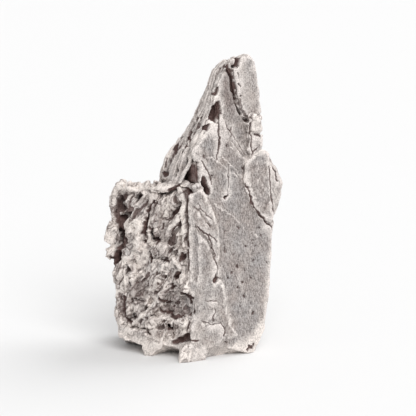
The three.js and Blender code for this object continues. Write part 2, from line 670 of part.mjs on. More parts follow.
export default part;
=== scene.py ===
"""The looks of an iron meteorite: a cleaved, weathered piece of coarse octahedrite.

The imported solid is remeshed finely, and its surface is worked as the real one was: cleaved smooth
along the front, torn into flakes over the block, split into packets of plates on the flanks, then
worn along its edges and rusted in its hollows.

Lengths are in millimetres until a mesh or a light is made. The frame is the solid's own.
"""
import math
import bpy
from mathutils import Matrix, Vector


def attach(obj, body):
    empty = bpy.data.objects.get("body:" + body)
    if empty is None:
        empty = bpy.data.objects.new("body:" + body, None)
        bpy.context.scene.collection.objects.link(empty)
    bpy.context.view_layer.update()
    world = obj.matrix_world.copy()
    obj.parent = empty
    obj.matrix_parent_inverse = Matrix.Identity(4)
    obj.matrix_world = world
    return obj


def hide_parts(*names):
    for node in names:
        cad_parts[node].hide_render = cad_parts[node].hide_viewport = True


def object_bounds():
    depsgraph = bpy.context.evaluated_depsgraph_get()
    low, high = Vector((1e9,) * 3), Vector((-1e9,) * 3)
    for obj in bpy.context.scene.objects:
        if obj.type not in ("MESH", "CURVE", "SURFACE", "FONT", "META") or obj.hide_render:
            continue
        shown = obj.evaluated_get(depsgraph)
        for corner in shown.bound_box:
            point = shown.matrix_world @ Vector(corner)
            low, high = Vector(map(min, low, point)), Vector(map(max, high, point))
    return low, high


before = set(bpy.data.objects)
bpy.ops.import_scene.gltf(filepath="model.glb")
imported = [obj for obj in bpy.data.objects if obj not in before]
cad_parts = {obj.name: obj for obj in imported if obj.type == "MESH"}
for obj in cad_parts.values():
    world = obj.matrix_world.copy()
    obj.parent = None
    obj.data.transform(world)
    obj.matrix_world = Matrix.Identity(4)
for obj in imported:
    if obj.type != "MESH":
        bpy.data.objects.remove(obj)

from types import SimpleNamespace

import bmesh
import bpy
import numpy as np
from mathutils import Matrix, Vector
from mathutils.bvhtree import BVHTree

MM = 0.001
cad_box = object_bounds()

# ---------- sizes of the work ----------

FOOTPRINT_MIDDLE = np.array([0.1, -7.15, 1.1])  # the solid's own outlines are drawn around this
VOXEL = 0.2  # finer than the thinnest flake
TRIANGLES = 192000
ROUNDING_PASSES = 5

FLAKE = np.array([2, 4.8, 3])  # torn iron: a flake, across and along the grain
CHIP = np.array([0.8, 1.4, 1.1])  # torn iron: the chips on a flake
SHEET = 0.34  # how far a flake stands over the sheet it was torn from
GAP = 0.75  # how deep the gaps in that sheet are
BREAK = 0.3  # how deep the breaks between the sheet's slabs are
SLAB_STEP, CHIP_STEP, FLAKE_FOOT = 0.1, 0.05, 0.1  # smaller steps of torn iron
LAMELLA = 1.4  # one kamacite plate, seen edge-on
TIGHT_JOINT, OPEN_JOINT = 0.15, 0.55  # how deep the joints between plates are, and what opening adds
PIT = 0.5  # how deep the corrosion pits on the smooth face are
LUMP_SWELL = 1.1  # makes up for the facets of a lump, which lie inside its radius


# ---------- the faces of the solid ----------


class Face:
    """A flat side with its own frame: x right along it, y up it, z out of it."""

    def __init__(self, origin, azimuth, lean):
        turn, tip = math.radians(azimuth), math.radians(lean)
        self.origin = np.array(origin, float)
        self.out = np.array(
            [math.sin(turn) * math.cos(tip), -math.cos(turn) * math.cos(tip), math.sin(tip)]
        )
        self.right = np.array([math.cos(turn), math.sin(turn), 0.0])
        self.up = np.cross(self.out, self.right)

    def local(self, points):
        return (points - self.origin) @ np.stack([self.right, self.up, self.out]).T


SMOOTH_FACE = Face((0, -24.1, 0), 33, 5)
STRIP_FACE = Face((-1, -21.5, 0), 22, 2)
ROUGH_FACE = Face((-1, -21.5, 0), -25, 2)
FLANK_FACE = Face((0.75, -17.2, 61.8), -57, 29)  # the plates seen edge-on, left of the tip

# Blades of kamacite that stand out of the flank, parallel to the smooth face: (outline, back,
# front), the last two as depths behind that face.
BLADES = [
    (
        [(-0.6, 54.4), (2, 58.6), (3.5, 60.8), (4.8, 63), (5.8, 63), (4.1, 60.4), (2.7, 58.2), (0.4, 54.4)],
        -2.8, -1.6,
    ),
    (
        [(-0.5, 54.4), (1.1, 58.4), (3, 62.4), (4.8, 64.6), (6, 64), (4.6, 60.6), (3.4, 57.6), (2.6, 54.4)],
        -5.3, -4.4,
    ),
    (
        [(-0.2, 54.4), (1.1, 58.2), (2.7, 61.8), (4.2, 64), (5.8, 65), (6, 63.4), (4.4, 60), (3.2, 54.4)],
        -7.2, -6.3,
    ),
    (
        [(0.2, 54.2), (0.9, 57.7), (2.1, 60), (3.3, 61.9), (4.6, 63.5), (6.4, 65.4), (8, 67.8), (8.6, 66.5),
         (6, 62), (4.5, 58), (4, 54.2)],
        -9.4, -7.4,
    ),
    (
        [(2.5, 54), (2.9, 58), (4.5, 60.8), (6.4, 63.3), (8.2, 64.6), (9.7, 66), (9.6, 64), (7.4, 61.4),
         (6, 58.4), (5, 54)],
        -17, -15.6,
    ),
    (
        [(10.3, 65.6), (11.4, 67.9), (12.1, 69.2), (12.9, 70.1), (14.4, 72), (15, 71.4), (13, 68.6),
         (11.6, 65.4)],
        -15.6, -14.3,
    ),
]

# Lumps of crust along the top of the block, below the tip and on it, each (place, radius).
LUMPS = [
    ((-8.9, -8.6, 53.2), 1.1), ((-8.9, -8.6, 52.2), 0.8),  # one on another, which roots it
    ((-8.2, -5.6, 53), 1.1), ((-6.4, -11, 53.2), 1.6),
    ((-4.9, -10.4, 53.4), 1.9), ((-3.4, -12.2, 53.2), 1.5), ((-10.6, -13.2, 52.6), 1.3),
    ((-2.2, -15.8, 53), 1.4), ((0.2, -16.6, 52.6), 1.3), ((-13.4, -12.8, 52.2), 1),
    ((-18.6, -11.4, 51.6), 1.3), ((-21.4, -9.6, 51.4), 1.5), ((-6.6, -15.2, 52.6), 1.2),
    ((17.4, -6.4, 71.4), 1.5), ((18.8, -6, 70.4), 1.3), ((17.2, -6.6, 69.8), 1.2),
    ((19.4, -5.2, 71), 1), ((11.2, -5.4, 87.9), 1.3), ((10.2, -6.2, 86.5), 1.1),
    ((14.7, -5.6, 72.2), 1.2), ((14.1, -5.8, 73.5), 1),
]

# The right edge of the strip, as (height, x) on its own face.
STRIP_EDGE = [
    (0, 9), (6, 15.8), (9, 14.6), (13, 13.3), (17, 12.4), (21, 12), (24, 11.2), (26, 9),
    (31, 9.8), (35, 10.4), (39, 10), (44, 8.9), (48, 7.1), (52, 5.2), (53, 3),
]

# The leaf that lies on the smooth face, and the cavity over the block, rusty all through: both in
# the smooth face's frame.
LEAF_MIDDLE = np.array([26, 51.5])
LEAF_REACH = np.array([3.4, 8.2])
CAVITY_MIDDLE = np.array([6.9, 56.8, -5.6])
CAVITY_REACH = np.array([4.8, 5, 6.2])


# ---------- marks worked into the faces ----------

# Each mark is (path, half width, depth, stain): a path of points on its face, or one point for a
# pit. A depth below zero raises a ridge. A stain is brown above zero, and pale below it. A later
# mark's stain covers an earlier one's.

SMOOTH_MARKS = [
    # Pale crust along the foot and the right edge, and on the scales there.
    ([(12.5, 2), (17, 2.2), (22, 2.8), (26.4, 7)], 3.6, 0, -1),
    ([(26.8, 8), (27.6, 16), (29.4, 30)], 1.6, 0, -0.5),
    ([(21.7, 58.8), (20.9, 54.5), (21.6, 50.4), (24.5, 44.6)], 0.6, 0, -0.4),
    ([(22, 59.2), (27.5, 61.2), (29.6, 60)], 0.7, 0, -0.5),
    ([(30.8, 57), (31.8, 50), (31.4, 43)], 0.9, 0, -0.5),
    ([(24.4, 71), (25, 68)], 1.6, 0, -0.9),
    # The leaf's grey middle.
    ([(25, 57), (25.6, 51), (26.6, 46)], 2.2, 0, 0.12),
    # The pale plate of the tip.
    ([(22, 88), (22.6, 82), (24, 76)], 2.2, 0, -0.35),
    # The dark bare plate above the fingers.
    ([(17.6, 84.6), (17.4, 81.2), (18.4, 77)], 1.9, 0, 0.45),
    ([(17.2, 77.5), (18.6, 74.6)], 1.4, 0, 0.3),
    # Pale tips of the fingers, and a pale chip.
    ([(9.6, 70.4), (11, 70.9), (12, 70.4)], 0.8, 0, -0.7),
    ([(13.4, 72.6), (13.9, 73.4), (14.4, 72.4)], 0.6, 0, -0.7),
    ([(1.6, 61.8), (3.9, 65), (7.5, 68)], 1, 0, -0.6),
    ([(12.4, 78.2), (14.2, 79.4)], 0.6, -0.3, -0.6),
    ([(11.2, 80.5), (12.3, 82.9), (14.2, 85.7), (16, 86.3)], 0.6, -0.1, -0.8),
    # Neumann lines: long shallow ridges, slanting down to the right.
    ([(7.3, 62.2), (11.5, 59.8), (18.6, 54.3)], 0.3, -0.22, -0.15),
    ([(11.9, 61.5), (13.9, 60.4), (17.4, 57.2), (19.9, 54.1)], 0.3, -0.22, -0.15),
    ([(10, 47), (15.7, 43.6), (19.6, 39.3), (24.5, 35.8)], 0.3, -0.22, -0.15),
    ([(15.8, 64.1), (21.1, 59.4)], 0.3, -0.22, -0.15),
    # Joints between plates: near-upright splits below the tip, and the lines that meet them.
    ([(12.8, 71), (13, 67), (12.9, 64.2), (11.4, 60.4)], 0.25, 0.6, 0.9),
    ([(14.3, 73.7), (16, 69.3), (17.8, 67.7)], 0.25, 0.5, 0.8),
    ([(17.8, 67.7), (22.3, 60.4)], 0.2, 0.25, 0.3),
    ([(17.9, 69.4), (17.9, 66.5)], 0.2, 0.35, 0.6),
    ([(23.3, 70.5), (23.2, 68.5), (24, 65.9), (23.8, 63.8), (24.2, 60.7)], 0.28, 0.6, 0.9),
    ([(25.8, 62.3), (23.7, 60.4)], 0.22, 0.4, 0.8),
    ([(25, 66.2), (26.8, 65.8)], 0.35, 0.5, 0.8),
    ([(15.6, 58.3), (15.5, 54), (15.1, 49.8)], 0.18, 0.25, 0.4),
    ([(6.5, 60.3), (8.7, 57), (9.5, 53.3)], 0.22, 0.35, 0.8),
    # The crack between the bare plate and the tip, the crust at its foot, and the slot over it.
    ([(18.3, 85.6), (18.8, 82.6), (19.2, 79.9), (19.8, 77.1)], 0.46, 0.8, 1),
    ([(21.6, 73.8), (22.8, 72)], 1, -0.7, 0),
    ([(20.6, 77.1), (21.4, 73.9), (23, 71.8)], 0.25, 0.3, 0.5),
    ([(21.2, 89), (20.8, 87.9), (20.6, 86.8)], 0.4, 1.2, 1),
    # The ragged edge of the tip's plate.
    ([(20.3, 84.9), (20.6, 83.6)], 0.35, 0.5, 0),
    ([(20.6, 81.6), (20.9, 80.9)], 0.3, 0.6, 0.5),
    ([(20.9, 78.2)], 0.4, 0.5, 0.3),
    # The holes left of the bare plate.
    ([(17.7, 87.1), (18.2, 86.2)], 0.5, 0.8, 1),
    ([(12.9, 79.3), (13.7, 80.9)], 0.5, 0.9, 1),
    ([(13.8, 76.4), (13.8, 74.6), (12.8, 73.4), (11.8, 72.2)], 0.95, 1.2, 1),
    ([(8.7, 69.1), (9.6, 70.6)], 0.42, 1.3, 1),
    # The mouth of the cavity over the block.
    ([(4.9, 59.6), (5, 57.5), (4.8, 54.8)], 0.7, 5, 1),
    # The foot of the leaf, and the slits in it.
    ([(20.9, 52.1), (21.5, 51), (22.9, 45.9), (25.7, 42.1), (30.1, 38)], 0.28, 0.6, 1),
    ([(29.5, 56.5), (29.6, 51.5), (29.7, 47), (30.4, 42)], 0.22, 0.5, 0.9),
    ([(29.8, 59.5), (30.4, 57.5), (30.9, 56.2), (32.3, 54.3), (32.5, 51.7)], 0.25, 0.6, 1),
    # The gap beside the head of the strip, and holes in the face.
    ([(6.7, 55.4), (7.8, 53.2), (8.5, 50.6)], 0.6, 0.9, 1),
    ([(14, 48.6), (15, 49.4)], 0.45, 0.6, 1),
    ([(12.6, 6), (13.6, 4.6)], 0.5, 0.7, 1),
    ([(19.6, 2.2), (20.8, 3)], 0.5, 0.5, 1),
]

# Corrosion pits on the smooth face, each (x, y, half width).
SMOOTH_PITS = [
    (13.5, 38.9, 0.34), (18.3, 39.1, 0.41), (25.5, 38.7, 0.36), (26.2, 36.2, 0.34),
    (13, 33.3, 0.31), (17.3, 28, 0.41), (23.1, 28.9, 0.34), (15.3, 26, 0.41), (18.7, 23.1, 0.36),
    (17, 21.7, 0.34), (19.1, 18.4, 0.46), (17.5, 15.4, 0.41), (22.2, 13, 0.36), (13.6, 24.8, 0.31),
    (20.6, 33.5, 0.31), (23.9, 33.1, 0.31), (15.8, 31.4, 0.31), (27.9, 27.9, 0.34),
    (21.7, 23.7, 0.31), (7.3, 61.8, 0.38), (15.4, 64, 0.43), (9.8, 55.8, 0.31), (15.6, 60.5, 0.34),
    (20.4, 56.9, 0.31), (9.8, 5.1, 0.54), (12.7, 5.7, 0.42), (20.2, 3.2, 0.54), (21.5, 3.7, 0.42),
    (13, 34.7, 0.24), (13, 34.1, 0.24), (13, 33.5, 0.26), (13.1, 32.8, 0.36), (22.6, 37.2, 0.24),
    (22.8, 35, 0.24), (22.9, 33.9, 0.26), (16.4, 36.2, 0.24), (19.8, 26.4, 0.24), (21.2, 16.4, 0.26),
]

STRIP_MARKS = [
    # Pale crust over the foot of the strip, and along its worn edges, which stand proud.
    ([(-2, 2), (3, 2), (7, 4), (10, 3)], 3, 0, -0.45),
    ([(3, 8), (4, 14)], 2.5, 0, -0.3),
    ([(5.5, 24), (6, 16), (9, 9)], 3.5, 0, -0.2),
    ([(1.2, 50.6), (1.3, 42.9), (1.3, 37.6), (1.2, 30.6), (1.2, 25.3)], 0.75, -0.12, -0.3),
    ([(2.5, 46.6), (2.6, 41), (2.6, 30.5), (2.5, 25.2)], 0.6, 0.15, 0),
    ([(4.4, 52.4), (6.7, 46.7), (9, 42.2), (9.8, 36.9), (9.4, 29.8), (8.2, 26.4)], 0.5, -0.1, -0.35),
    ([(10, 24), (11, 21.6), (11.5, 17.2), (12.4, 13.6), (13.6, 9.1)], 0.6, -0.1, -0.35),
    ([(0.6, 22), (-2, 22.6)], 0.8, -0.1, -0.8),
    # The long crack and its branches.
    ([(3.1, 41), (6.4, 38.3), (8.2, 33.5), (8.6, 30.7)], 0.22, 0.5, 0.9),
    ([(8.6, 30.7), (9.5, 27.4)], 0.22, 0.5, 0.9),
    ([(8.4, 24.5), (9.2, 25.6), (10, 26.4)], 0.6, 0.9, 1),
    ([(3.2, 48), (5.6, 44.7), (7.6, 43.1)], 0.2, 0.3, 0.6),
    ([(6.8, 38.6), (9, 36.3)], 0.2, 0.35, 0.8),
    ([(2.5, 47), (3.7, 45.9)], 0.25, 0.3, 0.6),
    ([(6.2, 42), (7.3, 40.4)], 0.2, 0.3, 0.7),
    # Cracks of the lower strip.
    ([(4.5, 12.4), (7.5, 11.7), (10.2, 11.7)], 0.2, 0.25, 0.5),
    ([(10.2, 11.7), (11.1, 10), (10.9, 7.6)], 0.24, 0.3, 0.8),
    ([(8.2, 15.8), (7.7, 12.6)], 0.2, 0.3, 0.7),
    ([(5.5, 18.9), (8.4, 18.4)], 0.2, 0.25, 0.5),
    ([(0.4, 7.2), (2.6, 7)], 0.35, 0.4, 0.9),
]

# The flank is stepped, so its marks have places in all three directions.
FLANK_MARKS = [
    # Pale edges of the plates.
    ([(-5, -1.1, 63), (-6.6, -2.9, 60.8), (-7.9, -4.1, 58.6)], 0.7, 0, -0.7),
    ([(-3.5, -10.7, 62.5), (-4.9, -11.8, 59)], 0.5, 0, -0.7),
    ([(0.9, -8.6, 68.6), (-0.4, -9, 65.4), (-1.9, -12.6, 62.1), (-2.5, -14.1, 59.3)], 0.5, 0, -0.8),
    ([(-0.9, -16, 60.5), (-2, -17.1, 58.3), (-2.9, -18.2, 56)], 0.7, 0, -0.9),
    # The rusty hollows between the outer blades.
    ([(-5.3, -3.7, 61), (-4.4, -1.3, 62.4), (-3.4, -0.6, 63.8)], 0.8, 0.6, 1),
    ([(-4.3, -4, 61.4), (-3.4, -5.6, 62.9), (-2.9, -5, 63.9)], 0.8, 0.5, 1),
    ([(-4.6, -4.4, 60.5), (-4.9, -5.4, 59.8), (-5.1, -10.4, 59.8)], 0.6, 0.3, 0.6),
    ([(-0.3, -4.8, 68.8), (-0.8, -4.8, 67.3), (-1.2, -6, 66.2), (-1.5, -9, 65.6)], 1, 0.7, 1),
    ([(-0.6, -1.2, 67.5)], 1, 0.6, 1),
    ([(1.3, -6.6, 71.1), (1.1, -7.6, 70.2)], 0.5, 0.6, 1),
    ([(0.1, -0.3, 69.7), (0.3, -3.1, 69.3)], 0.5, 0.4, 0.9),
    # Gaps between the plates.
    ([(-2.8, -11.7, 62.2), (-3.8, -14.8, 59.5), (-4.5, -15.1, 56.9), (-5.1, -15.7, 55.5)], 0.35, 0.6, 1),
    ([(-1.7, -10.4, 64.1), (-2.7, -14.1, 61.5), (-3.1, -14.7, 59.2), (-3.5, -15.1, 57.2)], 0.35, 0.6, 1),
    ([(-0.7, -9.9, 65.8), (-1.8, -13, 63.3)], 0.3, 0.5, 0.9),
    ([(2.9, -6.3, 73.5), (1.8, -7.3, 71.3), (0.6, -8.6, 68.5), (-0.4, -9.7, 66.3)], 0.3, 0.5, 0.9),
    ([(-5.4, -4, 60.4), (-6.4, -4, 58), (-7.4, -4.7, 55.2), (-7.7, -5.5, 53.8)], 0.45, 0.5, 0.9),
    ([(-7.9, -4, 58.6), (-8.3, -4.8, 56.4)], 0.35, 0.4, 0.7),
    ([(-8.4, -5.4, 54.2), (-7.6, -8, 54.4)], 0.7, 0.4, 1),
]

ROUGH_MARKS = [
    # The rusty hollow down the left side, with paler chips left in it.
    ([(-23, 47.6), (-24.6, 45.4), (-24.2, 41.6)], 1.6, 0.5, 0.9),
    ([(-20.4, 44.6), (-23.4, 41)], 1, 0.4, 0.9),
    ([(-24.2, 41.6), (-23.6, 37), (-24.2, 33.4), (-25.4, 28.2)], 1, 0.5, 1),
    ([(-24.4, 45.6), (-23, 45)], 0.6, -0.5, -0.3),
    ([(-24, 43), (-22, 42.2)], 0.35, -0.4, -0.5),
    ([(-22.6, 41.4), (-21.2, 41.8)], 0.35, -0.4, -0.5),
    # Pale rims, lumps and flakes, and the pale crust along the foot.
    ([(-26.4, 36.2), (-26.8, 31.3)], 1.4, 0, -0.8),
    ([(-26.4, 45.5), (-26, 50)], 0.6, 0, -0.7),
    ([(-25.8, 50.6), (-15, 51.6), (-4, 53)], 0.8, 0, -1),
    ([(-24, 5), (-16, 4), (-13, 2), (-8, 5), (-4, 2)], 2.2, 0, -1),
    ([(-11.7, 12.2), (-7.6, 13.2), (-1.9, 12.6)], 0.8, -0.1, -0.7),
    ([(-20.6, 38), (-17.2, 41.6)], 1.3, -0.25, -1),
    ([(-17.4, 41), (-17.2, 37), (-17.8, 33.6)], 1.3, -0.25, -1),
    ([(-13.8, 43), (-14.4, 40), (-14.2, 36.4)], 0.5, -0.15, -0.6),
    ([(-18.3, 10.2), (-16.2, 13.1), (-13.4, 15.7), (-11.8, 18.5)], 0.6, -0.5, -1),
    ([(-8.5, 21.8), (-10.6, 19.7), (-11.8, 17.7)], 0.6, -0.5, -1),
    ([(-20, 20.6), (-20.5, 23.6), (-16.4, 25.5)], 0.65, -0.5, -1),
    ([(-23.6, 26), (-23.2, 19.5)], 0.45, -0.4, -0.9),
    ([(-22.2, 26.5), (-21.8, 19)], 0.4, -0.4, -0.9),
    ([(-7.3, 39.9), (-6, 41.8), (-3.9, 43.3)], 0.3, -0.3, -0.8),
    ([(-3.7, 34.1), (-5.8, 30.9), (-3.2, 29)], 0.6, -0.7, -1),
    ([(-4.5, 27.7)], 0.7, -0.5, -1),
    ([(-9.6, 29), (-10, 26.8)], 0.55, -0.5, -1),
    ([(-3.2, 50.5), (-2.9, 44), (-2.8, 36)], 0.5, -0.15, -0.9),
    ([(-9.8, 47.8), (-9.4, 44.6)], 0.5, -0.1, -0.5),
    ([(-5.2, 39.6), (-4, 38.2)], 1, 0, -0.5),
    ([(-13.5, 37), (-13.2, 34.5)], 0.35, -0.3, -0.8),
    # The shallow granular hollow low on the right is nearly level with the rest.
    ([(-7.4, 17), (-4, 17.6)], 2.6, -1.2, 0),
    # Chips that still fill the sheet under the rim and beside the strip.
    ([(-16.4, 49.5)], 1.2, -0.6, -0.5),
    ([(-5.4, 38.6), (-5, 36.6)], 1.1, -0.5, -0.4),
    ([(-4.4, 49.2), (-4, 48.2)], 0.9, -0.4, -0.4),
    # Bare grey sheet.
    ([(-17.2, 47.4), (-15, 46.6)], 1.8, 0, 0.3),
    ([(-12.2, 44.6), (-10.6, 41)], 1.4, 0, 0.25),
    ([(-10.6, 37.4), (-7.6, 38.4)], 1.8, 0, 0.3),
    ([(-13, 32.6), (-9.4, 33.2)], 1.6, 0, 0.2),
    ([(-19.4, 20.8), (-16.6, 20)], 2.2, 0, 0.4),
    ([(-8.6, 20.4), (-6, 19.6)], 1.6, 0, 0.3),
    ([(-9.6, 15.4), (-6, 15.2), (-2.8, 15.8)], 1.3, 0.2, 0.5),
    ([(-20.2, 16.4), (-16.4, 16.6)], 0.9, 0, 0.35),
    ([(-11.6, 8.4), (-5.2, 10.4)], 1.1, 0, 0.2),
    ([(-23.4, 18), (-22.8, 12.4)], 1, 0.2, 0.6),
    # The long crack beside the strip, and the gaps under the block's rim.
    ([(-1.8, 51), (-1.4, 47.6), (-1.4, 43.9), (-1.3, 39.6), (-1.1, 35.9)], 0.8, 1.2, 1),
    ([(-1.3, 33.8), (-1.6, 32.2)], 0.4, 0.6, 1),
    ([(-1, 30.6), (-0.9, 28.4)], 0.4, 0.6, 1),
    ([(-7.5, 51.6), (-6, 52.4), (-4.6, 53)], 0.5, 0.6, 1),
    ([(-3.9, 52.6), (-2.6, 51.8), (-0.6, 51.2)], 0.35, 0.6, 1),
    ([(-3.8, 21), (-2.2, 20.2), (-0.3, 19.8)], 0.5, 0.7, 1),
    ([(0.3, 18.8), (0, 15.6)], 0.4, 0.7, 1),
    ([(-0.8, 8.6), (-3.2, 7.2), (-5.4, 6)], 0.8, 1, 1),
    ([(-1, 7.2), (-2.4, 6.6)], 0.7, 1, 0.8),
    # Gaps along the grain, in the upper half.
    ([(-19.4, 49.6), (-20.6, 47.4), (-21, 45.3)], 0.3, 0.5, 0.8),
    ([(-12.7, 47.9), (-14.1, 46.3), (-15, 44.3)], 0.3, 0.5, 1),
    ([(-15.2, 42.1), (-15.7, 39.1), (-15.9, 35.3)], 0.4, 0.7, 1),
    ([(-13.9, 39.6), (-12.8, 37.8), (-12.4, 36)], 0.45, 0.6, 1),
    ([(-4.4, 46.8), (-5.6, 45.4), (-7.2, 43.4)], 0.5, 0.7, 1),
    ([(-7.2, 43.4), (-8.8, 42.3)], 0.3, 0.5, 1),
    ([(-6.5, 39.5), (-5.1, 41), (-3.5, 42.6)], 0.25, 0.5, 1),
    ([(-12.4, 36.4), (-11.2, 35.4)], 0.6, 0.5, 1),
    # Gaps and holes lower down.
    ([(-2.8, 32.8), (-3.6, 31)], 0.55, 0.7, 1),
    ([(-14, 31.4), (-13.7, 29.5)], 0.45, 0.6, 1),
    ([(-10.7, 30.8), (-9.5, 30.3), (-7.6, 30)], 0.3, 0.6, 1),
    ([(-4.9, 26.7), (-5.3, 25.2)], 0.8, 0.6, 1),
    ([(-6.7, 23.5), (-6.5, 22.4)], 0.45, 0.6, 1),
    ([(-10.1, 19), (-9.3, 18)], 0.5, 0.6, 1),
    ([(-10.5, 15.2), (-7.6, 14.4), (-5.2, 13.6), (-3.1, 14.2)], 0.4, 0.6, 1),
    ([(-1.6, 21.1), (-1.2, 18.1)], 0.5, 0.6, 1),
    ([(-1.1, 14.4), (-0.9, 11.4), (-1.5, 9.8)], 0.4, 0.6, 1),
    ([(-22.1, 18.1), (-22.2, 15.1), (-22, 12.1), (-19.9, 10)], 0.5, 0.6, 1),
    ([(-18.8, 17.7), (-17.1, 17.2), (-15.4, 17.3)], 0.3, 0.6, 0.8),
    ([(-14.1, 9.6), (-14.3, 8), (-13.3, 7.4)], 0.3, 0.6, 0.8),
    ([(-7.2, 10.3)], 0.65, 0.6, 1),
    ([(-6.4, 16.4)], 0.5, 0.6, 1),
    ([(-11, 23.3)], 0.4, 0.6, 0.9),
    ([(-20.1, 23.6), (-19.8, 22.2)], 0.4, 0.6, 0.9),
    ([(-17.6, 21.6), (-15.9, 24.1)], 0.3, 0.6, 0.8),
]


# ---------- noise ----------


def hashed(cells, seed):
    x, y, z = (cells.astype(np.int64) * [73856093, 19349663, 83492791]).T
    return ((x ^ y ^ z) + seed * 7919) % 4096


def ripple(points, seed=0):
    """Smooth noise, one wave to a unit, about -1 to 1."""
    roll = np.random.default_rng(seed)
    slopes = roll.normal(size=(4096, 3))
    slopes /= np.linalg.norm(slopes, axis=1, keepdims=True)
    cell = np.floor(points)
    inside = points - cell
    fade = inside**3 * (inside * (inside * 6 - 15) + 10)
    total = np.zeros(len(points))
    for corner in np.ndindex(2, 2, 2):
        share = np.prod(np.where(corner, fade, 1 - fade), axis=1)
        total += share * np.einsum("ij,ij->i", slopes[hashed(cell + corner, seed)], inside - corner)
    return total * 1.6


def bent(points, amount, reach, seed):
    """Points pushed about by smooth noise, so that what is drawn on them wavers."""
    return points + amount * np.stack([ripple(points / reach, seed + k) for k in range(3)], axis=1)


def shards(points, seed=0):
    """A surface of broken flakes, one to a unit cell, each flat and tilted its own way.

    Gives its height, about -1 to 1, and how near each point is to a break, 1 on it.
    """
    roll = np.random.default_rng(seed)
    places = roll.random((4096, 3))
    levels = roll.uniform(-1, 1, 4096)
    slopes = roll.normal(scale=0.5, size=(4096, 3))
    cell = np.floor(points)
    first = np.full(len(points), 9.0)
    second = first.copy()
    height = np.zeros(len(points))
    for step in np.ndindex(3, 3, 3):
        other = cell + np.array(step) - 1
        key = hashed(other, seed)
        offset = points - other - places[key]
        gap = np.einsum("ij,ij->i", offset, offset)
        closer = gap < first
        second = np.where(closer, first, np.minimum(second, gap))
        first = np.where(closer, gap, first)
        height = np.where(closer, levels[key] + np.einsum("ij,ij->i", slopes[key], offset), height)
    return height, 1 - ramp(np.sqrt(second) - np.sqrt(first), 0, 0.16)


def ramp(values, start, end):
    """0 before start, 1 after end, eased between."""
    t = np.clip((values - start) / (end - start), 0, 1)
    return t * t * (3 - 2 * t)


# ---------- meshes as arrays ----------


def arrays(mesh):
    points = np.empty(len(mesh.vertices) * 3)
    normals = np.empty(len(mesh.vertices) * 3)
    edges = np.empty(len(mesh.edges) * 2, np.int32)
    mesh.vertices.foreach_get("co", points)
    mesh.vertices.foreach_get("normal", normals)
    mesh.edges.foreach_get("vertices", edges)
    return points.reshape(-1, 3) / MM, normals.reshape(-1, 3), edges.reshape(-1, 2)


def averaged(values, edges, passes):
    """Each vertex's values, mixed with its neighbours' again and again."""
    values = np.array(values, float).reshape(len(values), -1)
    count = np.bincount(edges.ravel(), minlength=len(values))[:, None]
    for _ in range(passes):
        near = np.stack(
            [
                np.bincount(edges[:, 0], column[edges[:, 1]], len(values))
                + np.bincount(edges[:, 1], column[edges[:, 0]], len(values))
                for column in values.T
            ],
            axis=1,
        )
        values = 0.4 * values + 0.6 * near / count
    return values.squeeze()


def modified(piece, kind, **settings):
    """Applies one modifier to a piece's mesh."""
    tool = piece.modifiers.new(kind.title(), kind)
    for name, value in settings.items():
        setattr(tool, name, value)
    shape = bpy.data.meshes.new_from_object(
        piece.evaluated_get(bpy.context.evaluated_depsgraph_get())
    )
    piece.modifiers.clear()
    piece.data = shape


def without_crumbs(piece):
    """Keeps the piece's one large skin, and drops the crumbs and bubbles that lie loose from it."""
    edges = arrays(piece.data)[2]
    skin = np.arange(len(piece.data.vertices))  # the lowest vertex found so far on the same skin
    while True:
        lowest = skin[edges].min(axis=1)
        spread = skin.copy()
        np.minimum.at(spread, edges[:, 0], lowest)
        np.minimum.at(spread, edges[:, 1], lowest)
        spread = spread[spread]
        if np.array_equal(spread, skin):
            break
        skin = spread
    kept = np.nonzero(skin == np.bincount(skin).argmax())[0]
    group = piece.vertex_groups.new(name="kept")
    group.add(kept.tolist(), 1, "REPLACE")
    modified(piece, "MASK", vertex_group=group.name)
    piece.vertex_groups.clear()


def put_back(mesh, points):
    mesh.vertices.foreach_set("co", (points * MM).ravel())
    mesh.update()


# ---------- the camera, the floor and the light ----------


def make_camera():
    """Looks a little down on the corner between the smooth and the rough face, from far away."""
    elevation, distance, width = math.radians(12), 700, 124.8
    aim = Vector((4.35, 0, 42.68)) - Vector(FOOTPRINT_MIDDLE)
    lens = bpy.data.cameras.new("camera")
    lens.lens = lens.sensor_width * distance / width
    lens.clip_end = 10
    camera = bpy.data.objects.new("camera", lens)
    away = Vector((0, -math.cos(elevation), math.sin(elevation)))
    camera.location = (aim + away * distance) * MM
    camera.rotation_euler = (math.pi / 2 - elevation, 0, 0)
    bpy.context.scene.collection.objects.link(camera)
    bpy.context.scene.camera = camera


def add(tree, kind, inputs=None, **settings):
    """Adds a node with its properties, and its sockets' values or links."""
    node = tree.nodes.new(kind)
    for name, value in settings.items():
        setattr(node, name, value)
    for name, value in (inputs or {}).items():
        if isinstance(value, bpy.types.NodeSocket):
            tree.links.new(value, node.inputs[name])
        else:
            node.inputs[name].default_value = value
    return node


def colour(code):
    """An sRGB hex colour as linear light."""
    parts = [int(code[i : i + 2], 16) / 255 for i in (1, 3, 5)]
    return [c / 12.92 if c <= 0.04045 else ((c + 0.055) / 1.055) ** 2.4 for c in parts] + [1]


def bare_material(name):
    material = bpy.data.materials.new(name)
    material.use_nodes = True
    material.node_tree.nodes.clear()
    return material, material.node_tree


def painted_board():
    """White-painted board: an even, dull white."""
    material, tree = bare_material("painted_board")
    board = add(tree, "ShaderNodeBsdfPrincipled", {"Base Color": colour("#DEDEDE"), "Roughness": 0.9})
    add(tree, "ShaderNodeOutputMaterial", {"Surface": board.outputs["BSDF"]})
    return material


def make_floor():
    bpy.ops.mesh.primitive_plane_add(size=4)
    floor = bpy.context.object
    floor.name = "floor"
    floor.data.materials.append(painted_board())


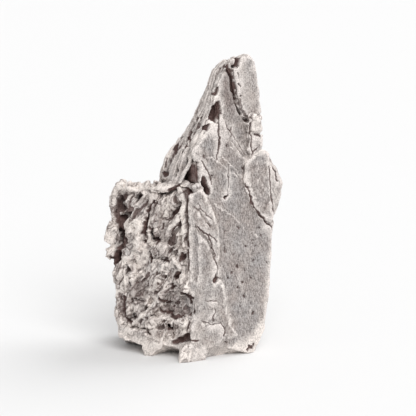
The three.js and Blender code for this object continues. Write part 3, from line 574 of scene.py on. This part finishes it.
def make_sun(name, azimuth, elevation, strength, softness):
    """Even light from one side: azimuth 0 is in front, and a positive one to the right."""
    turn, tilt = math.radians(azimuth), math.radians(elevation)
    away = Vector(
        (math.sin(turn) * math.cos(tilt), -math.cos(turn) * math.cos(tilt), math.sin(tilt))
    )
    lamp = bpy.data.lights.new(name, "SUN")
    lamp.energy = strength
    lamp.angle = math.radians(softness)
    holder = bpy.data.objects.new(name, lamp)
    holder.rotation_euler = (-away).to_track_quat("-Z", "Y").to_euler()
    bpy.context.scene.collection.objects.link(holder)


def make_light():
    """Plain soft studio light: an even white room, and a large lamp at the front right."""
    world = bpy.data.worlds.new("studio")
    world.use_nodes = True
    room = world.node_tree.nodes["Background"].inputs
    room["Color"].default_value = colour("#FFFFFF")
    room["Strength"].default_value = 0.58
    bpy.context.scene.world = world
    bpy.context.scene.view_settings.view_transform = "Standard"
    make_sun("key", azimuth=18, elevation=42, strength=2, softness=40)
    make_sun("side", azimuth=120, elevation=38, strength=1.7, softness=60)


# ---------- the surface ----------


def grain_of(points, angle):
    """Turns points so that y runs along a grain at that angle on the rough face."""
    turn = math.radians(angle)
    x, y, z = points.T
    return np.stack(
        [x * math.sin(turn) - y * math.cos(turn), x * math.cos(turn) + y * math.sin(turn), z],
        axis=1,
    )


def torn_iron(rough):
    """Relief of torn iron, how open its gaps are, and where a flake is left on it.

    Ragged flakes are left on a sheet, and the sheet has gaps. All lie along the grain, and are
    half hidden under crust along the foot.
    """
    grain = bent(grain_of(rough, 62), 0.5, 2.2, 1)
    large = 0.7 + 0.3 * ramp(rough[:, 1], 20, 34)
    level = large * ripple(grain / FLAKE, 4) + (1.25 - large) * ripple(grain / FLAKE / 0.5, 5)
    level += 0.1 * ripple(grain / 0.6, 6)
    slabs, breaks = shards(bent(grain, 0.3, 1.4, 9) / (0.8 * FLAKE), 10)
    chips, splits = shards(bent(grain, 0.2, 0.8, 7) / CHIP, 8)
    breaks *= ramp(ripple(grain / 2.5, 11), -0.2, 0.2)
    splits *= ramp(ripple(grain / 1.2, 12), -0.2, 0.2)
    flake = ramp(level, 0.05, 0.1)
    sheet = ramp(level + 0.3 * (large - 0.7), -0.38, -0.33)
    foot = 1 - ramp(np.abs(level + 0.01), 0.02, 0.07)
    relief = SHEET * (flake - 0.4) + GAP * (sheet - 0.85) + SLAB_STEP * slabs + CHIP_STEP * chips
    relief -= BREAK * breaks + FLAKE_FOOT * foot
    gaps = np.maximum.reduce([1 - sheet, breaks, 0.8 * splits, 0.75 * foot])
    crusted = 0.55 * ramp(-rough[:, 1], -12, -7)
    return relief * (1 - crusted), gaps * (1 - crusted), flake


def plate_edges(smooth):
    """Relief of the plates seen edge-on, and how near each point is to a joint between them."""
    z = smooth[:, 2]
    wander = 0.5 * ripple(smooth / [9, 9, 3], 21) + 0.2 * ripple(smooth / [2.5, 2.5, 1.2], 22)
    phase = z / LAMELLA + wander
    joint = ramp(np.abs(phase - np.floor(phase) - 0.5), 0.24, 0.46)
    open_here = ramp(ripple(smooth / [6, 6, 1.3], 23), -0.35, 0.5)
    relief = 0.3 * ripple(smooth / [3, 3, 0.9], 24) - joint * (TIGHT_JOINT + OPEN_JOINT * open_here)
    return relief, joint * open_here


def distance_to(path, places):
    """How far each place is from a path, or from a single point."""
    nearest = np.full(len(places), np.inf)
    for start, end in zip(path, path[1:] or path):
        start, run = np.array(start), np.subtract(end, start)
        offset = places - start
        share = np.clip(offset @ run / max(run @ run, 1e-9), 0, 1)
        gap = np.linalg.norm(offset - share[:, None] * run, axis=1)
        nearest = np.minimum(nearest, gap)
    return nearest


def worked(local, marks):
    """How far the marks sink each point, how brown or pale they leave it, and how surely."""
    directions = len(marks[0][0][0])
    if directions == 2:
        local = local * [1, 1, 0]
    places = bent(local, 0.35, 1.3, 41)[:, :directions]
    patchy = 0.65 + 0.5 * ripple(local / 1.6, 46)
    swell = 1 + 0.45 * ripple(local / 2.3, 47)
    sink, stain, cover = np.zeros((3, len(places)))
    for path, half_width, depth, tone in marks:
        low = np.min(path, axis=0) - 2 * half_width
        high = np.max(path, axis=0) + 2 * half_width
        near = np.nonzero(((places > low) & (places < high)).all(axis=1))[0]
        gap = distance_to(path, places[near]) / swell[near]
        crisp, soft = (0.75, 1.15) if depth > 0 else (0.4, 1.4)
        share = 1 - ramp(gap, crisp * half_width, soft * half_width)
        if depth > 0:
            sink[near] = np.maximum(sink[near], share * depth)
        else:
            sink[near] += share * depth
        if tone < 0:
            share = np.clip(share * patchy[near] * 1.4, 0, 1)
        stain[near] += share * (tone - stain[near])
        cover[near] = np.maximum(cover[near], share * abs(tone))
    return sink, stain, cover


def by_a_pit(points):
    """1 round the pits of the smooth face, whose sharp rims aren't worn pale."""
    places = SMOOTH_FACE.local(points + FOOTPRINT_MIDDLE)[:, :2]
    gaps = [distance_to([(x, y)], places) for x, y, _ in SMOOTH_PITS]
    return 1 - ramp(np.min(gaps, axis=0), 0.8, 1.4)


def shares(points, local, normals):
    """How much each point belongs to each side of the stone and to each finish, 0 to 1."""
    smooth, strip, rough, flank = local
    height = (points + FOOTPRINT_MIDDLE)[:, 2]
    strip_right = np.interp(strip[:, 1], *np.array(STRIP_EDGE).T)
    on_strip = ramp(strip[:, 2], -2.5, -1.2) * ramp(strip_right - strip[:, 0], -0.6, 0.4)
    on_strip *= ramp(strip[:, 0], -0.4, 0.5) * ramp(normals @ STRIP_FACE.out, 0.3, 0.7)
    above_block = ramp(height, 53, 54)
    near_smooth = ramp(smooth[:, 2], -6.5, -5) * np.maximum(ramp(smooth[:, 0], 1, 3), above_block)
    near_smooth *= 1 - on_strip
    on_smooth = near_smooth * ramp(normals @ SMOOTH_FACE.out, 0.5, 0.85)
    near_rough = ramp(rough[:, 2], -7, -4) * ramp(-rough[:, 0], -0.6, 0.1)
    near_rough *= ramp(-height, -55, -53) * (1 - on_strip)
    beyond_flank = ramp(flank[:, 2], 1.5, 3)
    near_flank = ramp(flank[:, 2], -9, -7) * (1 - beyond_flank) * above_block * (1 - on_smooth)
    on_block = ramp(-smooth[:, 0], -2.5, -0.5) * ramp(-height, -54, -52)
    on_block = np.maximum.reduce([on_block, beyond_flank, ramp(-smooth[:, 2], 17, 19)])
    edge_on = ramp(1 - np.abs(normals @ SMOOTH_FACE.out), 0.15, 0.5)
    on_plates = (1 - on_block) * (1 - on_smooth) * (1 - on_strip) * edge_on
    underside = ramp(-normals[:, 2], 0.7, 0.95) * ramp(-points[:, 2], -2, -0.5)
    torn = (1 - on_smooth) * (1 - on_strip) * (1 - on_plates) * (1 - underside) * (1 - near_flank)
    across, along = ((smooth[:, :2] - LEAF_MIDDLE) / LEAF_REACH).T
    leaf = on_smooth * ramp(-np.hypot(across, along), -1.1, -0.8)
    return SimpleNamespace(
        near_smooth=near_smooth, on_smooth=on_smooth, on_strip=on_strip, near_rough=near_rough,
        near_flank=near_flank, on_plates=on_plates, underside=underside, torn=torn, leaf=leaf,
    )


def worn_down(points, strip, edges, at):
    """The lower strip is worn until its steps are soft."""
    share = ramp(strip[:, 2], -3.5, -2) * ramp(strip[:, 0], -1, 1.5) * ramp(16 - strip[:, 0], 0, 3)
    share *= ramp(-strip[:, 1], -26, -20)
    soft = averaged(points, edges, 60)
    return points + (soft - points) * (share * (1 - at.underside))[:, None]


def waver(points, normals, at):
    """Every edge wavers a little, but the cleaved faces stay flat, and the torn one nearly so."""
    push = bent(bent(points, 0.28, 2.6, 51), 0.14, 1, 55) - points
    level_torn = 0.8 * at.near_rough * ramp(normals @ ROUGH_FACE.out, 0.6, 0.9)
    for face, share in (
        (SMOOTH_FACE, at.on_smooth), (STRIP_FACE, at.on_strip), (ROUGH_FACE, level_torn)
    ):
        push -= face.out * ((push @ face.out) * share)[:, None]
    return push * (1 - at.underside)[:, None]


def before_marks(own, smooth, rough, normals, at):
    """How far each point stands out, and how rusty, crusted and torn it is, before any mark."""
    flakes, gaps, raised = torn_iron(rough)
    plates, joints = plate_edges(smooth)
    calm = 0.08 * ripple(own / 7, 31) + 0.03 * ripple(own / 1.6, 32)
    torn = np.maximum(at.torn, 0.15 * at.leaf)
    calm += at.leaf * (0.2 * ripple(own / 0.8, 35) + 0.2 * ripple(own / 2, 36))
    lumps = ramp(own[:, 2], 49, 51.5) * (1 - at.near_flank) * ramp(normals[:, 2], -0.3, 0.4)
    lumps = lumps * torn * (0.6 * ripple(own / 2.4, 33) + 0.35 * ripple(own / 1.1, 34))
    outward = torn * (1 - at.leaf) * flakes + lumps + at.on_plates * plates
    outward += np.maximum(1 - torn, at.leaf) * (1 - at.underside) * calm
    rust = torn * (1 - at.leaf) * gaps * 0.85 + at.on_plates * joints * 0.9
    pale = np.maximum(0.9 * raised, 0.35 * ramp(normals[:, 2], 0.2, 0.8))
    crust = 0.3 * at.near_flank + torn * (1 - at.leaf) * pale
    return outward, rust, crust, torn


def stained(rust, crust, share, stain, cover):
    """Rust and crust once the marks' stains lie over them, brown above zero and pale below."""
    left = 1 - share * cover
    return rust * left + share * np.clip(stain, 0, 1), crust * left + share * np.clip(-stain, 0, 1)


def sculpt(points, normals, edges):
    """Where each point goes, and what the work leaves there."""
    own = points + FOOTPRINT_MIDDLE
    local = [face.local(own) for face in (SMOOTH_FACE, STRIP_FACE, ROUGH_FACE, FLANK_FACE)]
    smooth, strip, rough, _ = local
    at = shares(points, local, normals)
    moved = worn_down(points, strip, edges, at) + waver(points, normals, at)
    outward, rust, crust, torn = before_marks(own, smooth, rough, normals, at)
    moved += normals * outward[:, None]

    pits = [([(x, y)], size, PIT, 0.9) for x, y, size in SMOOTH_PITS]
    for face, places, near, marks in (
        (SMOOTH_FACE, smooth, at.near_smooth, SMOOTH_MARKS + pits),
        (STRIP_FACE, strip, at.on_strip, STRIP_MARKS),
        (ROUGH_FACE, rough, at.near_rough, ROUGH_MARKS),
    ):
        facing = normals @ face.out
        sink, stain, cover = worked(places, marks)
        moved -= face.out * (near * ramp(facing, -0.2, 0.3) * sink)[:, None]
        rust, crust = stained(rust, crust, near * ramp(facing, -0.8, -0.3), stain, cover)
    sink, stain, cover = worked(own, FLANK_MARKS)
    moved -= normals * (at.near_flank * sink)[:, None]
    rust, crust = stained(rust, crust, at.near_flank, stain, cover)
    inside = np.linalg.norm((smooth - CAVITY_MIDDLE) / CAVITY_REACH, axis=1)
    rust = np.maximum(rust, (1 - ramp(inside, 0.85, 1.1)) * (1 - at.on_smooth))
    return moved, {"torn": torn, "edge_on": at.on_plates, "rust": rust, "crust": crust}


def kept_in_box(points):
    low, high = (np.array(corner) / MM for corner in cad_box)
    return np.clip(points, low, high)


def solid_share(points, tree, pitch=0.5):
    """A grid that is 1 inside the stone and 0 outside, found by looking up each column."""
    margin, skip = 6, 0.01  # room for the blur, and a step past a crossing
    low, high = points.min(0) - margin, points.max(0) + margin
    size = np.ceil((high - low) / pitch).astype(int)
    grid = np.zeros(size, np.float32)
    up = Vector((0, 0, 1))
    heights = low[2] + (np.arange(size[2]) + 0.5) * pitch
    for i, j in np.ndindex(size[0], size[1]):
        x, y = low[:2] + (np.array([i, j]) + 0.5) * pitch
        z, crossings = low[2], []
        while True:
            hit = tree.ray_cast(Vector((x, y, z)) * MM, up)[0]
            if hit is None:
                break
            crossings.append(hit.z / MM)
            z = hit.z / MM + skip
        for bottom, top in zip(crossings[::2], crossings[1::2]):
            grid[i, j] += (heights > bottom) & (heights < top)
    return grid, low, pitch


def blurred(grid, reach):
    """A box blur of that many cells each way, three times over, close to a round one."""
    for _ in range(3):
        for axis in range(3):
            padded = np.insert(np.cumsum(grid, axis=axis, dtype=np.float64), 0, 0, axis=axis)
            count = grid.shape[axis]
            ahead = np.minimum(np.arange(count) + reach + 1, count)
            behind = np.maximum(np.arange(count) - reach, 0)
            grid = (padded.take(ahead, axis) - padded.take(behind, axis)) / (2 * reach + 1)
    return grid


def sampled(grid, low, pitch, points):
    """The grid's value at each point, mixed from the eight cells around it."""
    place = (points - low) / pitch - 0.5
    cell = np.floor(place).astype(int)
    inside = place - cell
    total = np.zeros(len(points))
    for corner in np.ndindex(2, 2, 2):
        share = np.prod(np.where(corner, inside, 1 - inside), axis=1)
        total += share * grid[tuple((cell + corner).T)]
    return total


def mark(mesh, name, values):
    layer = mesh.attributes.new(name, "FLOAT", "POINT")
    layer.data.foreach_set("value", np.ascontiguousarray(values, np.float32))


def add_blade(shape, outline, back, front):
    """Adds a closed slab to a mesh that is being made, parallel to the smooth face."""
    lie = SMOOTH_FACE.right, SMOOTH_FACE.up, SMOOTH_FACE.out
    rings = [
        [
            shape.verts.new((SMOOTH_FACE.origin + (x, y, depth) @ np.array(lie) - FOOTPRINT_MIDDLE) * MM)
            for x, y in outline
        ]
        for depth in (back, front)
    ]
    sides = [shape.faces.new(rings[0]), shape.faces.new(rings[1])]
    for i in range(len(outline)):
        sides.append(shape.faces.new([rings[0][i - 1], rings[0][i], rings[1][i], rings[1][i - 1]]))
    bmesh.ops.recalc_face_normals(shape, faces=sides)


def rough_out():
    """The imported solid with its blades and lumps, made one skin again and meshed finely."""
    shape = bmesh.new()
    shape.from_mesh(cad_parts["meteorite"].data)
    bmesh.ops.remove_doubles(shape, verts=shape.verts, dist=0.005 * MM)
    for outline, back, front in BLADES:
        add_blade(shape, outline, back, front)
    for place, radius in LUMPS:
        bmesh.ops.create_icosphere(
            shape, subdivisions=1, radius=LUMP_SWELL * radius * MM,
            matrix=Matrix.Translation((np.array(place) - FOOTPRINT_MIDDLE) * MM),
        )
    mesh = bpy.data.meshes.new("meteorite_surface")
    shape.to_mesh(mesh)
    shape.free()
    stone = bpy.data.objects.new("meteorite_surface", mesh)
    bpy.context.scene.collection.objects.link(stone)

    modified(stone, "REMESH", mode="VOXEL", voxel_size=VOXEL * MM)
    without_crumbs(stone)
    return stone


def mark_hollows_and_edges(stone):
    """Marks rust and painted shade in the wide hollows and the narrow crevices, and the worn edges of the
    finished shape.
    """
    points, normals, edges = arrays(stone.data)
    put_back(stone.data, kept_in_box(points))
    tree = BVHTree.FromObject(stone, bpy.context.evaluated_depsgraph_get())
    grid, low, pitch = solid_share(points, tree)
    just_outside = points + normals * 0.3
    near = sampled(blurred(grid, 1), low, pitch, just_outside)
    wide = sampled(blurred(grid, 4), low, pitch, just_outside)
    bulge = np.einsum("ij,ij->i", points - averaged(points, edges, 4), normals)
    # How enclosed each point is: its hollows and crevices go brown, partly as rust and partly as painted
    # shade.
    mark(stone.data, "recess_rust_and_shade", ramp(wide, 0.62, 0.87))
    mark(stone.data, "crevice_rust_and_shade", ramp(near, 0.59, 0.87))
    mark(stone.data, "wear", ramp(bulge, 0.038, 0.13) * (1 - by_a_pit(points)))


def make_meteorite():
    """The whole stone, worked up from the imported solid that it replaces."""
    stone = rough_out()
    points, normals, edges = arrays(stone.data)
    points = averaged(points, edges, ROUNDING_PASSES)
    normals = averaged(normals, edges, 4)
    normals /= np.linalg.norm(normals, axis=1, keepdims=True)
    moved, left = sculpt(points, normals, edges)
    put_back(stone.data, kept_in_box(moved))
    for name, values in left.items():
        mark(stone.data, name, values)
    ratio = TRIANGLES / sum(len(p.vertices) - 2 for p in stone.data.polygons)
    modified(stone, "DECIMATE", ratio=min(1, ratio))
    mark_hollows_and_edges(stone)

    for polygon in stone.data.polygons:
        polygon.use_smooth = True
    stone.data.materials.clear()
    stone.data.materials.append(weathered_iron())
    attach(stone, "root")
    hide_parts("meteorite")


# ---------- the material ----------


def lying(face, turn=0):
    """The rotation that lays a pattern on a face, turned by an angle in its plane."""
    frame_of = Matrix((face.right, face.up, face.out)).transposed()
    return (frame_of @ Matrix.Rotation(math.radians(turn), 3, "Z")).to_euler()


def patterns(tree, place, left):
    """The iron's patterns, with the grain of each finish mixed by what the work left there."""
    # Each pattern: how it lies, the size of its cells in millimetres, and its contrast.
    pattern = {}
    for name, lie, cells, contrast in (
        ("mottle", (0, 0, 0), (0.42, 0.42, 0.42), 0.12),
        ("clouds", (0, 0, 0), (6, 6, 6), 0.2),
        ("streaks", lying(SMOOTH_FACE, 5), (0.34, 1.1, 1.1), 0.16),
        ("flaking", lying(ROUGH_FACE, -28), (0.36, 0.9, 0.6), 0.13),
        ("layers", lying(SMOOTH_FACE), (6, 6, 0.6), 0.16),
    ):
        local = add(
            tree, "ShaderNodeMapping",
            {"Vector": place, "Rotation": lie, "Scale": [size * MM for size in cells]},
            vector_type="TEXTURE",
        )
        noise = add(
            tree, "ShaderNodeTexNoise", {"Vector": local.outputs["Vector"], "Scale": 1, "Detail": 3}
        )
        pattern[name] = add(
            tree, "ShaderNodeMapRange",
            {"Value": noise.outputs["Fac"], "From Min": 0.5 - contrast, "From Max": 0.5 + contrast},
        ).outputs["Result"]
    # The chips of torn iron each have their own tone.
    local = add(
        tree, "ShaderNodeMapping",
        {
            "Vector": place, "Rotation": lying(ROUGH_FACE, -28),
            "Scale": [0.6 * MM, 1.2 * MM, 0.9 * MM],
        },
        vector_type="TEXTURE",
    )
    chips = add(tree, "ShaderNodeTexVoronoi", {"Vector": local.outputs["Vector"], "Scale": 1})
    pattern["flaking"] = add(
        tree, "ShaderNodeMix", {"Factor": 0.3, 2: pattern["flaking"], 3: chips.outputs["Color"]},
        data_type="FLOAT",
    ).outputs[0]
    pattern["grain"] = pattern["streaks"]
    for name, share in (("flaking", left["torn"]), ("layers", left["edge_on"]), ("mottle", 0.4)):
        pattern["grain"] = add(
            tree, "ShaderNodeMix", {"Factor": share, 2: pattern["grain"], 3: pattern[name]},
            data_type="FLOAT",
        ).outputs[0]
    return pattern


def weathered_iron():
    """Iron-nickel that has weathered for centuries: grey and nearly dull on its faces, pale where
    its edges are worn or limed, rusty brown in its hollows, and darkened there by painted shade."""
    material, tree = bare_material("weathered_iron_nickel")
    place = add(tree, "ShaderNodeTexCoord").outputs["Object"]
    left = {
        name: add(tree, "ShaderNodeAttribute", attribute_name=name).outputs["Fac"]
        for name in ("torn", "edge_on", "rust", "crust", "wear", "crevice_rust_and_shade", "recess_rust_and_shade")
    }
    pattern = patterns(tree, place, left)
    grain = pattern["grain"]

    # Three ranges of colour, each from the dark of the grain to its light.
    shades = [
        add(tree, "ShaderNodeMix", {"Factor": grain, 6: colour(a), 7: colour(b)}, data_type="RGBA")
        for a, b in (("#5F5957", "#BDB8B6"), ("#706A66", "#F0EAE6"), ("#402C28", "#6A534E"))
    ]
    # The third range, the hollow brown, serves for rust and for the painted shade of crevices and recesses.
    cleaved, torn, hollow = (shade.outputs[2] for shade in shades)
    look = add(
        tree, "ShaderNodeMix", {"Factor": left["torn"], 6: cleaved, 7: torn}, data_type="RGBA"
    ).outputs[2]
    look = add(
        tree, "ShaderNodeMix", {"Factor": pattern["clouds"], 6: look, 7: colour("#FFF6F0")},
        data_type="RGBA", blend_type="MULTIPLY",
    ).outputs[2]
    patchy = add(
        tree, "ShaderNodeMath", {0: pattern["mottle"], 1: 0.55, 2: 0.48},
        operation="MULTIPLY_ADD", use_clamp=True,
    ).outputs["Value"]
    for name, shade in (("wear", "#E7DFDA"), ("crust", "#F4EBE4")):
        share = add(
            tree, "ShaderNodeMath", {0: left[name], 1: patchy}, operation="MULTIPLY"
        ).outputs["Value"]
        look = add(
            tree, "ShaderNodeMix", {"Factor": share, 6: look, 7: colour(shade)}, data_type="RGBA"
        ).outputs[2]
    # Rust, and painted shade in the crevices and recesses, darken the colour toward the hollow brown.
    for name in ("rust", "crevice_rust_and_shade", "recess_rust_and_shade"):
        look = add(
            tree, "ShaderNodeMix", {"Factor": left[name], 6: look, 7: hollow}, data_type="RGBA"
        ).outputs[2]

    dull = add(
        tree, "ShaderNodeMapRange", {"Value": grain, "To Min": 0.75, "To Max": 0.55}
    ).outputs["Result"]
    bump = add(
        tree, "ShaderNodeBump", {"Height": grain, "Strength": 0.9, "Distance": 0.17 * MM}
    ).outputs["Normal"]
    iron = add(
        tree, "ShaderNodeBsdfPrincipled",
        {"Base Color": look, "Roughness": dull, "Metallic": 0.2, "Normal": bump},
    )
    add(tree, "ShaderNodeOutputMaterial", {"Surface": iron.outputs["BSDF"]})
    return material


make_camera()
make_floor()
make_light()
make_meteorite()
